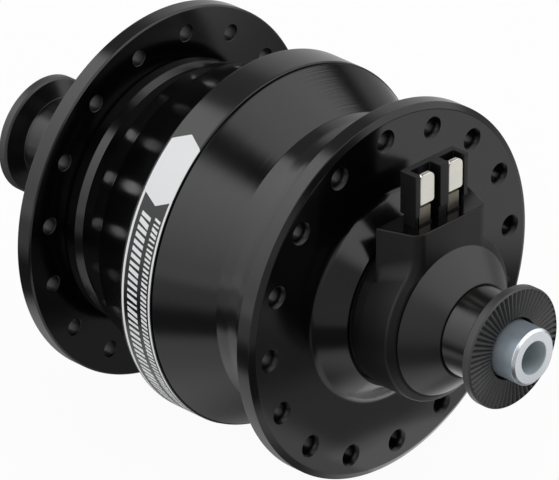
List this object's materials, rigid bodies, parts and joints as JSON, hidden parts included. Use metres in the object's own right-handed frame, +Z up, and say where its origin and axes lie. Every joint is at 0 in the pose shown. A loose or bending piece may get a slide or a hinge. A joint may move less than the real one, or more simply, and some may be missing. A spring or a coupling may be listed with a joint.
{
  "type": "hub dynamo",
  "caption": "Bicycle front hub with a generator inside: black flanged shell drilled for spokes, turning on a hollow axle with serrated end nuts and an upright lamp connector.",
  "frame": {"origin": "middle of the axle, halfway between the two fork faces", "axes": "Y along the axle with the connector side at -Y, +Z up through the connector, +X square to both"},
  "size_m": [0.06, 0.108, 0.06],
  "materials": {
    "shell_black": "black anodised, polished",
    "cap_black": "black anodised, satin",
    "nut_black": "black anodised, serrated face",
    "housing_plastic": "moulded black plastic",
    "contact_nickel": "nickel plated",
    "axle_steel": "turned and plated",
    "sleeve_steel": "turned",
    "pole_iron": "bare soft iron",
    "magnet": "sintered magnet",
    "bobbin_plastic": "moulded",
    "copper": "enamelled copper wire",
    "lead_red": "insulated wire",
    "lead_black": "insulated wire",
    "bearing_steel": "ground and polished",
    "cage_plastic": "moulded",
    "seal_rubber": "moulded rubber"
  },
  "bodies": {
    "axle_unit": {"axle": "axle_steel", "core_sleeve": "pole_iron", "left_claw_pole": "pole_iron", "right_claw_pole": "pole_iron", "coil_bobbin": "bobbin_plastic", "coil_winding": "copper", "live_lead": "lead_red", "return_lead": "lead_black", "right_spacer": "sleeve_steel", "left_spacer": "sleeve_steel", "right_collar": "sleeve_steel", "left_collar": "sleeve_steel", "right_inner_race": "bearing_steel", "left_inner_race": "bearing_steel", "terminal_housing": "housing_plastic", "terminal_block": "housing_plastic", "live_contact": "contact_nickel", "return_contact": "contact_nickel", "right_end_cap": "cap_black", "left_cone": "cap_black", "right_end_nut": "nut_black", "left_end_nut": "nut_black"},
    "shell": {"right_shell": "shell_black", "left_shell": "shell_black", "back_iron_ring": "pole_iron", "magnets_north": "magnet", "magnets_south": "magnet", "right_outer_race": "bearing_steel", "left_outer_race": "bearing_steel", "right_shields": "seal_rubber", "left_shields": "seal_rubber", "right_dust_seal": "seal_rubber", "left_dust_seal": "seal_rubber"},
    "right_ball_set": {"right_balls": "bearing_steel", "right_cage": "cage_plastic"},
    "left_ball_set": {"left_balls": "bearing_steel", "left_cage": "cage_plastic"}
  },
  "joints": [
    {"name": "hub_spin", "type": "hinge", "parent": "axle_unit", "child": "shell", "pos_m": [0, 0, 0], "axis": [0, 1, 0], "continuous": true},
    {"name": "right_ball_spin", "type": "hinge", "parent": "axle_unit", "child": "right_ball_set", "pos_m": [0, -0.0252, 0], "axis": [0, 1, 0], "continuous": true},
    {"name": "left_ball_spin", "type": "hinge", "parent": "axle_unit", "child": "left_ball_set", "pos_m": [0, 0.0252, 0], "axis": [0, 1, 0], "continuous": true}
  ],
  "couplings": [
    {"joint": "right_ball_spin", "follows": "hub_spin", "ratio": 0.5651},
    {"joint": "left_ball_spin", "follows": "hub_spin", "ratio": 0.5651}
  ]
}
